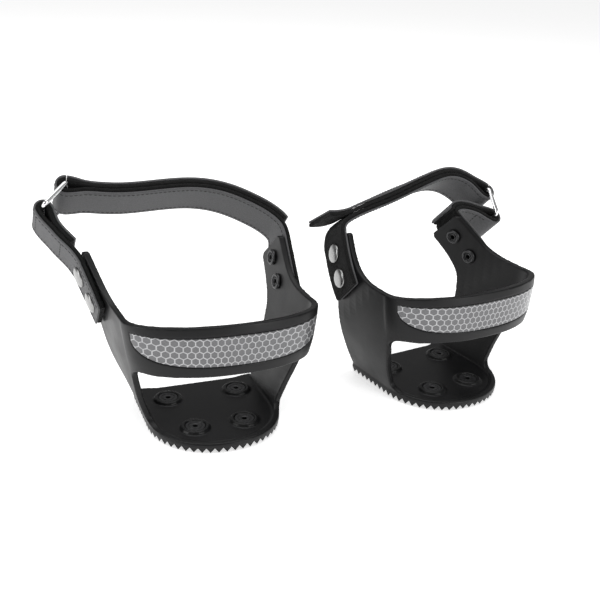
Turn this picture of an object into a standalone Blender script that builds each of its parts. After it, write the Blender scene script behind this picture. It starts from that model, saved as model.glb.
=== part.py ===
"""A pair of heel ice cleats: moulded rubber heel shells with studded soles and strap closures.

Every cleat is drawn once, in its own frame, and placed twice. The frame of one cleat, in
millimetres: x to the side that carries the wire ring, y towards the toe, z up, with the origin
under the middle of the sole on the ground. The left cleat is the mirror image of the right one.
The straps lie in a plane that holds the x axis and leans forward by STRAP_TILT. A place in that
plane is written (p, q): p along x, and q forward and up along the plane.
"""
import math

import bmesh
import bpy
from mathutils import Matrix, Vector

MM = 0.001
GAP = 0.3                   # clearance between pieces that touch

# Heel shell
WALL = 3.4                  # rubber thickness
SOLE_TOP = 5.0              # upper face of the sole plate
TOOTH_DEPTH = 2.7           # height of the moulded grip teeth
TOOTH_PITCH = 4.5
HEEL_HALF_WIDTH = 36.6      # middle of the wall, at the sole
WALL_FLARE = 22.0           # how far the walls lean out towards their upper limit
WALL_FLARE_HEIGHT = 50.0
SOLE_MARGIN = 2.0           # sole outline outside the middle of the wall
SOLE_FRONT = 34.0
REAR_AT_SOLE = -38.2
REAR_AT_BAND = -40.0
ARC_START_AT_SOLE = -2.0    # y where the straight sides turn into the rounded heel
ARC_START_AT_BAND = -11.0
BAND_HEIGHT = 46.0          # where the rear band starts
BAND_MIDDLE = 61.5
BAND_SWELL = 1.5            # the band is thicker at the back
HEEL_POWER = 2.15           # roundness of the heel seen from above: 2 is an ellipse
HEEL_STEPS = 22             # facets round the heel and along each side
SIDE_STEPS = 6
Y_REACH = 66.0              # the untrimmed walls run this far forwards

# Ears, which carry the straps
STRAP_TILT = math.radians(45.0)
EAR_MIDDLE = (32.5, 75.0)   # y, z of the point between the two rivets
EAR_HALF_WIDTH = 13.2
EAR_END = 17.0              # from EAR_MIDDLE to the end of the ear
EAR_NIP = 1.5               # the ear's two corners are cut off by this much
RIVET_PITCH = 16.0
LEAN_START_Q = 50.0         # the soft ears lean from here upwards

# Reflective strip set into the band
STRIP_DEPTH = 1.0
STRIP_HALF_HEIGHT = 9.0
STRIP_REACH = math.radians(73.0)   # half of the arc that the strip covers

# Studs in the sole
STUD_PLACES = ((21.0, 18.1), (-21.0, 18.1), (14.4, -18.1), (-14.4, -18.1))
BOSS_RADIUS = 8.5
BOSS_TOP = 6.9
BOSS_RECESS_RADIUS = 6.0
BOSS_RECESS_FLOOR = 5.4
STUD_HEAD_RADIUS = 5.7
STUD_SHANK_RADIUS = 2.4
STUD_FOOT = 1.5             # the stud's shank ends this far above the ground
STUD_CLEAR = 5.6            # no grip teeth this close to a stud's axis
TIP_RADIUS = 1.2
TIP_SEAT = 1.6              # depth of the hard tip's seat in the shank

# Straps
STRAP_WIDTH = 25.0
TAB_WIDTH = 22.5
PILE = 2.3                  # fluffy loop layer
FACE = 1.2                  # coated outer layer
TAIL_START = 59.0           # q where a strap's riveted tail begins
STRAIGHT_PAST_EAR = 2.0     # the straps start to bend this far beyond the ears
FAR_OPENING = 2.3           # room for the ring's far bar, so that the ring can swing a little
NEAR_OPENING = 1.6
OPENING_REACH = 14.0        # the plies part over this length before a ring bar
EAR_STEPS = 4               # stretches of a strap's line along its ear
STRAP_STEPS = 3             # facets for each stretch of the long strap, and of the tab
TAB_STEPS = 4
STRAP_EASING = 2            # passes that ease the bends of the long strap, and of the tab
TAB_EASING = 16
RETURN_START = 3            # the tab's return ply ends this many facets before the ear
FOLD_STEPS = 8              # facets of a half turn round the ring
FLAP_STEPS = 6              # facets of the flap's free end

# Wire ring
WIRE_RADIUS = 1.4
RING_HALF_LENGTH = 15.0
RING_CORNER = 2.3

# Rivets
CAP_RADIUS = 5.8
CAP_HEIGHT = 1.9
FLANGE_RADIUS = 4.8
SHANK_RADIUS = 1.9
THROUGH = 12.0              # rivet holes are cut this far from the wall's middle

PLY = 0.5 * GAP + PILE + GAP + FACE   # stack line to the outside of one ply
EAR_Q = sum(EAR_MIDDLE) * math.sqrt(0.5)
EAR_W = (EAR_MIDDLE[1] - EAR_MIDDLE[0]) * math.sqrt(0.5)
EAR_END_Q = EAR_Q + EAR_END
PILE_LAYER = (0.5 * GAP, 0.5 * GAP + PILE)      # offsets from the stack line
FACE_LAYER = (PLY - FACE, PLY)

# The two cleats as they stand. Straps are soft, so each one has its own lie:
#   lean: how far the ear's end is pushed outwards, on the strap side and on the ring side
#   twist: sideways shift of the band and ears for each millimetre forwards
#   strap: stack line (p, q, roll in degrees) from the strap ear's end to the far ring bar
#   tab: stack line (p, q) of the short strap from the ring ear's end to the near ring bar
#   flap: length that lies on the strap, length of the free end beyond it, and its turn in degrees
CLEATS = (
    {
        "name": "left", "mirror": True, "place": (-48.6, 456.1), "yaw": 22.6,
        "lean": {"strap": 2.0, "ring": 3.5}, "twist": 0.11,
        "strap": ((-57.5, 103, 0), (-51, 111, 0), (-41, 118.5, 0), (-26, 127, 0), (-8, 131.5, 0),
                  (13, 131.3, 0), (36, 130.3, 0), (52, 132.3, 0)),
        "far_bar": (67.0, 135.0), "near_bar": (81.0, 121.5),
        "tab": ((70.5, 100.5), (75.5, 108.0), (79.3, 115.5)),
        "flap": (135.0, 0.0, 0.0),
    },
    {
        "name": "right", "mirror": False, "place": (87.0, 516.7), "yaw": 32.4,
        "lean": {"strap": -11.5, "ring": -13.0}, "twist": -0.09,
        "strap": ((-51.1, 98.5, 0), (-45.0, 105, 8), (-31, 110.5, 14), (-10, 115.5, 17),
                  (11, 121, 17), (32, 125.8, 14), (46, 127.5, 10), (57, 124.5, 5), (66, 116, 0)),
        "far_bar": (72.3, 108.0), "near_bar": (70.0, 89.1),
        "tab": ((39.0, 98.9), (44.6, 101.6), (54.0, 99.4), (63.0, 94.0)),
        "flap": (120.0, 21.0, -28.0),
    },
)


# ---------------------------------------------------------------- shared helpers

def clear_scene():
    for item in list(bpy.data.objects):
        bpy.data.objects.remove(item, do_unlink=True)


def make_material(name, color, roughness, metallic=0.0):
    material = bpy.data.materials.new(name)
    material.use_nodes = True
    shader = material.node_tree.nodes["Principled BSDF"]
    shader.inputs["Base Color"].default_value = (*color, 1.0)
    shader.inputs["Roughness"].default_value = roughness
    shader.inputs["Metallic"].default_value = metallic
    return material


def smoothstep(x):
    x = min(max(x, 0.0), 1.0)
    return x * x * (3.0 - 2.0 * x)


def plane_point(p, q, w=EAR_W):
    """A place in the strap plane, or w millimetres across it, as (x, y, z)."""
    c, s = math.cos(STRAP_TILT), math.sin(STRAP_TILT)
    return Vector((p, c * q - s * w, s * q + c * w))


ACROSS = Vector((0.0, -math.sin(STRAP_TILT), math.cos(STRAP_TILT)))
ALONG = Vector((0.0, math.cos(STRAP_TILT), math.sin(STRAP_TILT)))
SIDE = Vector((1.0, 0.0, 0.0))


class Builder:
    """Makes the objects of one cleat under its own empty."""

    def __init__(self, cleat):
        self.cleat = cleat
        self.prefix = cleat["name"]
        self.flip = Matrix.Diagonal((-1.0, 1.0, 1.0, 1.0)) if cleat["mirror"] else Matrix()
        self.base = bpy.data.objects.new(self.prefix + "_cleat_frame", None)
        bpy.context.collection.objects.link(self.base)
        self.base.location = (cleat["place"][0] * MM, cleat["place"][1] * MM, 0.0)
        self.base.rotation_euler = (0.0, 0.0, math.radians(cleat["yaw"]))

    def add(self, name, bm, material=None, origin=(0.0, 0.0, 0.0), smooth=30.0):
        """Turn a bmesh in millimetres into an object whose origin is at the given place."""
        origin = Vector(origin)
        bmesh.ops.recalc_face_normals(bm, faces=bm.faces)
        bmesh.ops.transform(bm, matrix=self.flip @ Matrix.Translation(-origin), verts=bm.verts)
        if self.cleat["mirror"]:
            bmesh.ops.reverse_faces(bm, faces=bm.faces)
        bmesh.ops.scale(bm, vec=(MM, MM, MM), verts=bm.verts)
        mesh = bpy.data.meshes.new(self.prefix + "_" + name)
        bm.to_mesh(mesh)
        bm.free()
        mesh.shade_smooth()
        mesh.set_sharp_from_angle(angle=math.radians(smooth))
        item = bpy.data.objects.new(self.prefix + "_" + name, mesh)
        bpy.context.collection.objects.link(item)
        item.parent = self.base
        item.location = (self.flip @ origin) * MM
        if material:
            mesh.materials.append(material)
        return item

    def cutter(self, name, bm):
        item = self.add(name, bm)
        item.hide_render = True
        item.display_type = 'WIRE'
        return item


def combine(target, other, operation, use_self=False):
    modifier = target.modifiers.new(other.name, 'BOOLEAN')
    modifier.operation = operation
    modifier.object = other
    modifier.solver = 'EXACT'
    modifier.use_self = use_self


def loft(bm, rings, closed=False, ladder=False):
    """Bridge rings of points. The ends are capped, unless the rings close on themselves.

    A ladder cap spans a long thin ring, whose two halves run side by side, with quads.
    """
    rows = [[bm.verts.new(point) for point in ring] for ring in rings]
    count = len(rows[0])
    pairs = list(zip(rows, rows[1:]))
    if closed:
        pairs.append((rows[-1], rows[0]))
    for low, high in pairs:
        for i in range(count):
            j = (i + 1) % count
            bm.faces.new((low[i], low[j], high[j], high[i]))
    if closed:
        return
    for row in (rows[0], rows[-1]):
        if ladder:
            for i in range(count // 2 - 1):
                bm.faces.new((row[i], row[i + 1], row[count - 2 - i], row[count - 1 - i]))
        else:
            bm.faces.new(row)


def prism(bm, outline, low, high):
    """Extrude a closed outline of vectors from the offset low to the offset high."""
    loft(bm, [[point + low for point in outline], [point + high for point in outline]])


def turned(bm, profile, segments, place=Matrix()):
    """Spin a closed (radius, height) profile around z. Points with radius 0 lie on the axis."""
    columns = []
    for k in range(segments):
        turn = 2.0 * math.pi * k / segments
        columns.append((math.cos(turn), math.sin(turn)))
    rows = []
    for radius, height in profile:
        if radius == 0.0:
            rows.append([bm.verts.new(place @ Vector((0.0, 0.0, height)))] * segments)
        else:
            rows.append([bm.verts.new(place @ Vector((c * radius, s * radius, height)))
                         for c, s in columns])
    for a, b in zip(rows, rows[1:] + rows[:1]):
        for i in range(segments):
            j = (i + 1) % segments
            corners = []
            for vert in (a[i], a[j], b[j], b[i]):
                if vert not in corners:
                    corners.append(vert)
            if len(corners) > 2:
                bm.faces.new(corners)


def spline(points, steps):
    """Smooth curve through points of any dimension, steps samples per stretch."""
    points = [Vector(point) for point in points]
    spans = [(b - a).length for a, b in zip(points, points[1:])]
    slopes = [(b - a) / span for a, b, span in zip(points, points[1:], spans)]
    slopes = [slopes[0]] + slopes + [slopes[-1]]
    weights = [spans[0]] + spans + [spans[-1]]
    turns = [(slopes[i] * weights[i + 1] + slopes[i + 1] * weights[i]) / (weights[i] + weights[i + 1])
             for i in range(len(points))]
    curve = []
    for i, span in enumerate(spans):
        a, b = points[i], points[i + 1]
        for k in range(steps):
            t = k / steps
            bend = turns[i] * (t - 2 * t * t + t ** 3) + turns[i + 1] * (t ** 3 - t * t)
            curve.append(a + (b - a) * smoothstep(t) + bend * span)
    curve.append(points[-1])
    return curve


def relaxed(curve, start, passes):
    """The same curve with its sharpest bends eased, from the sample start onwards."""
    curve = list(curve)
    for _ in range(passes):
        middles = [0.5 * b + 0.25 * (a + c) for a, b, c in zip(curve, curve[1:], curve[2:])]
        curve[start:-1] = middles[start - 1:]
    return curve


# ---------------------------------------------------------------- heel shell surface

def wall_half_width(z):
    return HEEL_HALF_WIDTH + WALL_FLARE * (1.0 - math.exp((SOLE_TOP - z) / WALL_FLARE_HEIGHT))


def wall_shift(cleat, side, y, z):
    """Sideways shift of the soft wall at rest; side is 1 at the ring and -1 at the strap."""
    lean = cleat["lean"]["ring" if side > 0 else "strap"]
    q = min((y + z) * math.sqrt(0.5), EAR_END_Q + 5.0)
    ear = side * lean * (max(q - LEAN_START_Q, 0.0) / (EAR_END_Q - LEAN_START_Q)) ** 1.5
    return ear + cleat["twist"] * y * smoothstep((z - SOLE_TOP) / (BAND_HEIGHT - SOLE_TOP))


def heel_arc(z):
    """Where the rounded heel starts and how deep it is, at height z."""
    share = smoothstep((z - SOLE_TOP) / (BAND_HEIGHT - SOLE_TOP))
    start = ARC_START_AT_SOLE + (ARC_START_AT_BAND - ARC_START_AT_SOLE) * share
    rear = REAR_AT_SOLE + (REAR_AT_BAND - REAR_AT_SOLE) * share
    return start, start - rear


def heel_curve(turn, half, depth):
    """Rounded heel seen from above, from the end of one side (-90 degrees) to the other."""
    s, c = math.sin(turn), math.cos(turn)
    return (math.copysign(abs(s) ** (2.0 / HEEL_POWER), s) * half,
            -depth * abs(c) ** (2.0 / HEEL_POWER))


def wall_point(cleat, turn, z, y_front):
    """Middle of the wall. turn runs over the heel from -90 to 90 degrees; past that it is y."""
    start, depth = heel_arc(z)
    half = wall_half_width(z)
    limit = 0.5 * math.pi
    if abs(turn) <= limit:
        x, y = heel_curve(turn, half, depth)
        y += start
    else:
        x = math.copysign(half, turn)
        y = start + (y_front - start) * (abs(turn) - limit)
    return Vector((x + wall_shift(cleat, math.copysign(1.0, x), y, z), y, z))


def wall_normal(cleat, turn, z, y_front):
    step = 0.002
    here = wall_point(cleat, turn, z, y_front)
    around = wall_point(cleat, turn + step, z, y_front) - wall_point(cleat, turn - step, z, y_front)
    up = wall_point(cleat, turn, z + 0.5, y_front) - wall_point(cleat, turn, z - 0.5, y_front)
    normal = around.cross(up).normalized()
    return here, normal


def wall_thickness(turn, z):
    rear = max(math.cos(min(abs(turn), 0.5 * math.pi)), 0.0) ** 0.5
    band = math.exp(-((z - BAND_MIDDLE) / 13.0) ** 4)
    return WALL + BAND_SWELL * rear * band


def wall_sheet(cleat, turn, z, y_front, share):
    """A place in the wall: share -0.5 is its inner face and 0.5 its outer face."""
    here, normal = wall_normal(cleat, turn, z, y_front)
    extra = wall_thickness(turn, z) - WALL
    return here + normal * (share * WALL + (share + 0.5) * extra)


def ear_face(cleat, side, q, outward):
    """Point, outward normal and slope across the ear, outward mm from the wall's middle."""
    def surface(q_at, w_at):
        place = plane_point(0.0, q_at, w_at)
        x = side * wall_half_width(place.z) + wall_shift(cleat, side, place.y, place.z)
        return Vector((x, place.y, place.z))
    here = surface(q, EAR_W)
    along = surface(q + 0.5, EAR_W) - surface(q - 0.5, EAR_W)
    across = surface(q, EAR_W + 0.5) - surface(q, EAR_W - 0.5)
    normal = along.cross(across).normalized()
    if normal.x * side < 0.0:
        normal.negate()
    return here + normal * outward, normal, across.x * side


def side_profile():
    """Outline of the shell seen from the side, as (y, z): walls, band, ear and rear window."""
    ear_y, ear_z = EAR_MIDDLE
    s = math.sqrt(0.5)
    tip_y, tip_z = ear_y + s * EAR_END, ear_z + s * EAR_END
    top = (tip_y - s * EAR_HALF_WIDTH, tip_z + s * EAR_HALF_WIDTH)
    low = (tip_y + s * EAR_HALF_WIDTH, tip_z - s * EAR_HALF_WIDTH)
    nip = EAR_NIP
    front = spline(((SOLE_FRONT - 1.0, 3.2), (34.2, 12.0), (34.0, 28.0), (33.8, 44.0), (35.6, 55.0),
                    (41.3, 63.8), (low[0] - 2.5 * nip, low[1] - 2.5 * nip)), 3)
    end = [Vector(low) + Vector((-nip, -nip)), Vector(low) + Vector((-nip, nip)),
           Vector(top) + Vector((nip, -nip)), Vector(top) + Vector((-nip, -nip))]
    back = spline(((top[0] - 3 * nip, top[1] - 3 * nip), (23.0, 84.8), (14.8, 78.6), (5.8, 75.2),
                   (-4.0, 73.8), (-16.0, 73.4), (-30.0, 74.8), (-60.0, 78.0)), 3)
    window = spline(((-60.0, 49.0), (-30.0, 46.4), (-19.0, 45.0), (-13.6, 41.3), (-11.4, 32.0),
                     (-8.6, 15.0), (-9.0, 9.0), (-13.0, 6.4), (-19.0, 6.0), (-60.0, 6.0)), 3)
    return front + end + back + window + [Vector((-60.0, 3.2))]


# ---------------------------------------------------------------- heel shell

def wall_body(cleat):
    """Closed U-shaped wall, larger than the shell; the side profile trims it."""
    heights = (2.9, 10.0, 22.0, 34.0, 46.0, 58.0, 68.0, 78.0, 89.0, 101.0)
    limit = 0.5 * math.pi
    turns = [limit * (2.0 * k / HEEL_STEPS - 1.0) for k in range(HEEL_STEPS + 1)]
    sides = [limit + (k + 1.0) / SIDE_STEPS for k in range(SIDE_STEPS)]
    turns = [-t for t in reversed(sides)] + turns + sides
    bm = bmesh.new()
    rings = []
    for turn in turns:
        inner = [wall_sheet(cleat, turn, z, Y_REACH, -0.5) for z in heights]
        outer = [wall_sheet(cleat, turn, z, Y_REACH, 0.5) for z in reversed(heights)]
        rings.append(inner + outer)
    loft(bm, rings, ladder=True)
    return bm


def side_trim():
    bm = bmesh.new()
    reach = Vector((90.0, 0.0, 0.0))
    prism(bm, [Vector((0.0, y, z)) for y, z in side_profile()], -reach, reach)
    return bm


def sole_outline(margin):
    """D-shaped sole seen from above, margin mm outside the middle of the wall."""
    start, depth = heel_arc(SOLE_TOP)
    half = HEEL_HALF_WIDTH + margin
    points = []
    steps = 32
    for k in range(steps + 1):
        x, y = heel_curve(math.pi * (k / steps - 0.5), half, depth + margin)
        points.append((x, start + y))
    front = [(half, SOLE_FRONT), (half - 3.0, SOLE_FRONT + 2.5), (half - 8.0, SOLE_FRONT + 1.8),
             (half - 15.0, SOLE_FRONT)]
    return points + front + [(-x, y) for x, y in reversed(front)]


def sole_plate():
    bm = bmesh.new()
    outline = [Vector((x, y, 0.0)) for x, y in sole_outline(SOLE_MARGIN)]
    prism(bm, outline, Vector((0, 0, TOOTH_DEPTH)), Vector((0, 0, SOLE_TOP)))
    return bm


def inside(x, y, outline):
    odd = False
    for (x0, y0), (x1, y1) in zip(outline, outline[1:] + outline[:1]):
        if (y0 > y) != (y1 > y) and x < x0 + (y - y0) * (x1 - x0) / (y1 - y0):
            odd = not odd
    return odd


def teeth():
    """Square pyramids over the whole underside, with a clear place around each stud."""
    outline = sole_outline(SOLE_MARGIN - 0.4)
    half = 0.5 * TOOTH_PITCH
    count = 10
    cells = set()
    for i in range(-count, count):
        for j in range(-count, count):
            x, y = (i + 0.5) * TOOTH_PITCH, (j + 0.5) * TOOTH_PITCH
            corners = [(x + a * half, y + b * half) for a in (-1, 1) for b in (-1, 1)]
            if not all(inside(cx, cy, outline) for cx, cy in corners):
                continue
            if min(math.hypot(x - sx, y - sy) for sx, sy in STUD_PLACES) < STUD_CLEAR:
                continue
            cells.add((i, j))
    bm = bmesh.new()
    root, lid = TOOTH_DEPTH - 0.25, TOOTH_DEPTH + 0.9
    verts = {}

    def corner(i, j, z):
        if (i, j, z) not in verts:
            verts[i, j, z] = bm.verts.new((i * TOOTH_PITCH, j * TOOTH_PITCH, z))
        return verts[i, j, z]

    for i, j in sorted(cells):
        ring = [(i, j), (i + 1, j), (i + 1, j + 1), (i, j + 1)]
        apex = bm.verts.new(((i + 0.5) * TOOTH_PITCH, (j + 0.5) * TOOTH_PITCH, 0.0))
        bm.faces.new([corner(*place, lid) for place in ring])
        for (a, b), step in zip(zip(ring, ring[1:] + ring[:1]), ((0, -1), (1, 0), (0, 1), (-1, 0))):
            bm.faces.new((corner(*a, root), apex, corner(*b, root)))
            if (i + step[0], j + step[1]) not in cells:
                bm.faces.new((corner(*a, root), corner(*b, root), corner(*b, lid), corner(*a, lid)))
    return bm


def bosses():
    bm = bmesh.new()
    profile = ((0.0, SOLE_TOP - 1.0), (BOSS_RADIUS, SOLE_TOP - 1.0), (BOSS_RADIUS, BOSS_TOP - 1.0),
               (BOSS_RADIUS - 0.9, BOSS_TOP), (0.0, BOSS_TOP))
    for x, y in STUD_PLACES:
        turned(bm, profile, 16, Matrix.Translation((x, y, 0.0)))
    return bm


def shell_cuts(cleat):
    """Stud holes, rivet holes and the pocket for the reflective strip."""
    bm = bmesh.new()
    bore = STUD_SHANK_RADIUS + GAP
    profile = ((0.0, 0.5), (bore, 0.5), (bore, BOSS_RECESS_FLOOR),
               (BOSS_RECESS_RADIUS, BOSS_RECESS_FLOOR), (BOSS_RECESS_RADIUS, 9.0), (0.0, 9.0))
    for x, y in STUD_PLACES:
        turned(bm, profile, 12, Matrix.Translation((x, y, 0.0)))
    for side in (1, -1):
        for place in rivet_places(cleat, side):
            turned(bm, rod(SHANK_RADIUS + GAP, -THROUGH, THROUGH), 10, place)
    strip_solid(bm, cleat, -STRIP_DEPTH, 3.0, GAP)
    return bm


def rod(radius, low, high):
    return ((0.0, low), (radius, low), (radius, high), (0.0, high))


def strip_edges(share):
    """Lower and upper edge of the reflective strip at a share -1..1 of its arc: a boat shape."""
    sweep = abs(share)
    top = BAND_MIDDLE + STRIP_HALF_HEIGHT - 1.2 * sweep
    rise = 1.0 - math.sqrt(max(1.0 - sweep ** 3.2, 0.0))
    low = BAND_MIDDLE - STRIP_HALF_HEIGHT + 1.3 + (2.0 * STRIP_HALF_HEIGHT - 5.5) * rise
    return low, top


def strip_solid(bm, cleat, low_offset, high_offset, margin):
    """Curved patch on the band's outer face, between two offsets from that face."""
    steps = 20
    rings = []
    for k in range(steps + 1):
        share = math.sin(0.5 * math.pi * (2.0 * k / steps - 1.0))
        turn = share * (STRIP_REACH + margin / 50.0)
        low, top = strip_edges(share)
        ring = []
        for z, offset in ((low - margin, low_offset), (low - margin, high_offset),
                          (top + margin, high_offset), (top + margin, low_offset)):
            here, normal = wall_normal(cleat, turn, z, Y_REACH)
            ring.append(here + normal * (wall_thickness(turn, z) - 0.5 * WALL + offset))
        rings.append(ring)
    loft(bm, rings)


def rivet_places(cleat, side):
    """Frame of each rivet of one ear: origin at the wall's middle, z outwards."""
    places = []
    for step in (-0.5, 0.5):
        here, normal, _ = ear_face(cleat, side, EAR_Q + step * RIVET_PITCH, 0.0)
        turn = Vector((0.0, 0.0, 1.0)).rotation_difference(normal).to_matrix().to_4x4()
        places.append(Matrix.Translation(here) @ turn)
    return places


def make_shell(build, rubber):
    cleat = build.cleat
    wall = build.cutter("wall_guide", wall_body(cleat))
    combine(wall, build.cutter("trim_guide", side_trim()), 'INTERSECT')
    shell = build.add("heel_shell", sole_plate(), rubber, smooth=35.0)
    combine(shell, build.cutter("teeth_guide", teeth()), 'UNION')
    combine(shell, build.cutter("boss_guide", bosses()), 'UNION')
    combine(shell, wall, 'UNION', use_self=True)
    combine(shell, build.cutter("hole_guide", shell_cuts(cleat)), 'DIFFERENCE')


def make_strip(build, film):
    bm = bmesh.new()
    strip_solid(bm, build.cleat, GAP - STRIP_DEPTH, 0.0, 0.0)
    build.add("reflective_strip", bm, film)


# ---------------------------------------------------------------- studs

def make_studs(build, steel, carbide):
    head_top, head_low = BOSS_TOP - 0.5, BOSS_RECESS_FLOOR + GAP
    foot, socket = STUD_FOOT, TIP_RADIUS + GAP
    profile = ((0.0, head_top - 1.8), (1.5, head_top - 1.8), (1.5, head_top),
               (STUD_HEAD_RADIUS, head_top), (STUD_HEAD_RADIUS, head_low),
               (STUD_SHANK_RADIUS, head_low), (STUD_SHANK_RADIUS, foot), (socket, foot),
               (socket, foot + TIP_SEAT), (0.0, foot + TIP_SEAT))
    pin = ((0.0, 0.0), (0.7 * TIP_RADIUS, 0.0), (TIP_RADIUS, 0.5),
           (TIP_RADIUS, foot + TIP_SEAT - GAP), (0.0, foot + TIP_SEAT - GAP))
    for number, (x, y) in enumerate(STUD_PLACES, 1):
        place = Matrix.Translation((x, y, 0.0))
        build.add("stud_%d" % number, turned_piece(profile, 10, place), steel, (x, y, 0.0))
        build.add("stud_tip_%d" % number, turned_piece(pin, 8, place), carbide, (x, y, 0.0))


def turned_piece(profile, segments, place):
    bm = bmesh.new()
    turned(bm, profile, segments, place)
    return bm


# ---------------------------------------------------------------- straps

def ear_line(cleat, side, outward):
    """(p, q, roll) of places along an ear, outward mm from the wall's middle."""
    line = []
    for k in range(EAR_STEPS + 1):
        q = TAIL_START + (EAR_END_Q + STRAIGHT_PAST_EAR - TAIL_START) * k / EAR_STEPS
        point, _, slope = ear_face(cleat, side, q, outward)
        line.append((point.x, point.dot(ALONG), -math.degrees(math.atan(slope))))
    return line


def line_lengths(line):
    lengths = [0.0]
    for a, b in zip(line, line[1:]):
        lengths.append(lengths[-1] + math.hypot(b[0] - a[0], b[1] - a[1]))
    return lengths


def stations(line, outside, widen):
    """Stations (point, outward normal, opening, lean) along a dense (p, q, roll) line.

    outside is 1 when the outside of the loop is on the left of the line. The plies part by the
    opening near the line's end, to make room for the ring's wire.
    """
    lengths = line_lengths(line)
    result = []
    for k, (p, q, roll) in enumerate(line):
        ahead, behind = line[min(k + 1, len(line) - 1)], line[max(k - 1, 0)]
        tangent = Vector((ahead[0] - behind[0], ahead[1] - behind[1])).normalized()
        normal = Vector((-tangent.y, tangent.x)) * outside
        opening = widen * smoothstep(1.0 - (lengths[-1] - lengths[k]) / OPENING_REACH)
        lean = normal * -math.sin(math.radians(roll))
        result.append((Vector((p, q)), normal, opening, lean))
    return result


def turned_in(path):
    """The same stations, for a ply on the inner side of the stack line."""
    return [(point, -normal, opening, lean) for point, normal, opening, lean in path]


def fold(path, first, last):
    """Stations of a half turn round the wire at the end of a path, clear of its two ends."""
    point, normal, opening, _ = path[-1]
    ahead = (point - path[-2][0]).normalized()
    result = []
    for k in range(first, last + 1):
        turn = math.pi * k / FOLD_STEPS
        out = normal * math.cos(turn) + ahead * math.sin(turn)
        result.append((point, out, opening, Vector((0.0, 0.0))))
    return result


def ribbon(path, low, high, width=STRAP_WIDTH):
    """Solid of rectangular section along stations, between two offsets along their normals."""
    half = 0.5 * width
    rings = []
    for point, normal, opening, lean in path:
        center = plane_point(point.x, point.y)
        across = ACROSS * math.sqrt(1.0 - lean.length_squared) + SIDE * lean.x + ALONG * lean.y
        out = SIDE * normal.x + ALONG * normal.y
        out = (out - across * out.dot(across)).normalized()
        rings.append([center + out * (opening + offset) + across * edge * half
                      for offset, edge in ((low, -1), (low, 1), (high, 1), (high, -1))])
    bm = bmesh.new()
    loft(bm, rings)
    split_same_way(bm, len(rings))
    return bm


def split_same_way(bm, count):
    """Split a ribbon's twisted quads along matching diagonals, so that stacked layers stay clear."""
    bm.verts.ensure_lookup_table()
    for k in range(count - 1):
        a, b = bm.verts[4 * k:4 * k + 4], bm.verts[4 * k + 4:4 * k + 8]
        if b[0].co.x < a[0].co.x:
            a, b = b, a
        for quad, start, end in (((a[0], a[1], b[1], b[0]), a[0], b[1]),
                                 ((a[2], a[3], b[3], b[2]), a[3], b[2])):
            face = next(f for f in quad[0].link_faces if set(f.verts) == set(quad))
            bmesh.utils.face_split(face, start, end)


def long_strap_line(cleat):
    on_ear = ear_line(cleat, -1, 0.5 * WALL + GAP + PLY)
    line = spline([*on_ear, *cleat["strap"], (*cleat["far_bar"], 0.0)], STRAP_STEPS)
    return relaxed(line, EAR_STEPS * STRAP_STEPS, STRAP_EASING)


def flap_stations(cleat):
    """Flap from the ring back along the stack line, then on along its free end."""
    line = long_strap_line(cleat)
    lengths = line_lengths(line)
    cover, free, turn = cleat["flap"]
    path = stations(line, 1, FAR_OPENING)
    covered = [path[k] for k in range(len(path)) if lengths[-1] - lengths[k] <= cover]
    covered.reverse()
    point, normal, opening, lean = covered[0]
    covered[0] = (point + (covered[1][0] - point).normalized() * GAP, normal, opening, lean)
    point, normal, opening, lean = covered[-1]
    heading = Vector((-normal.y, normal.x))
    steps = FLAP_STEPS if free else 0
    for _ in range(steps):
        heading.rotate(Matrix.Rotation(math.radians(turn / steps), 2))
        point = point + heading * free / steps
        covered.append((point, Vector((heading.y, -heading.x)), opening, lean))
    return covered


def make_long_strap(build, coated, pile, cutter):
    path = turned_in(stations(long_strap_line(build.cleat), 1, FAR_OPENING))
    path += fold(path, 1, FOLD_STEPS)
    for name, layer, material in (("strap_face", FACE_LAYER, coated), ("strap_pile", PILE_LAYER, pile)):
        combine(build.add(name, ribbon(path, *layer), material), cutter, 'DIFFERENCE')


def make_flap(build, coated, pile):
    path = flap_stations(build.cleat)
    point, normal, opening, _ = path[0]
    edge = point + normal * (opening + PLY)
    hinge = plane_point(edge.x, edge.y)
    for name, layer, material in (("flap_face", FACE_LAYER, coated), ("flap_hook", PILE_LAYER, pile)):
        build.add(name, ribbon(path, *layer), material, hinge)


def make_tab(build, coated, pile, cutter):
    """Short strap: riveted tail, half turn round the ring's near bar, and sewn return."""
    cleat = build.cleat
    on_ear = ear_line(cleat, 1, 0.5 * WALL + GAP)
    rolls = [(p, q, 0.0) for p, q in (*cleat["tab"], cleat["near_bar"])]
    line = relaxed(spline([*on_ear, *rolls], TAB_STEPS), EAR_STEPS * TAB_STEPS - 2, TAB_EASING)
    outer = stations(line, -1, NEAR_OPENING)
    back = turned_in(outer[EAR_STEPS * TAB_STEPS + RETURN_START:])
    path = outer + fold(outer, 1, FOLD_STEPS - 1) + back[::-1]
    for name, layer, material in (("tab_face", FACE_LAYER, coated), ("tab_pile", PILE_LAYER, pile)):
        combine(build.add(name, ribbon(path, *layer, TAB_WIDTH), material), cutter, 'DIFFERENCE')


# ---------------------------------------------------------------- wire ring

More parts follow.
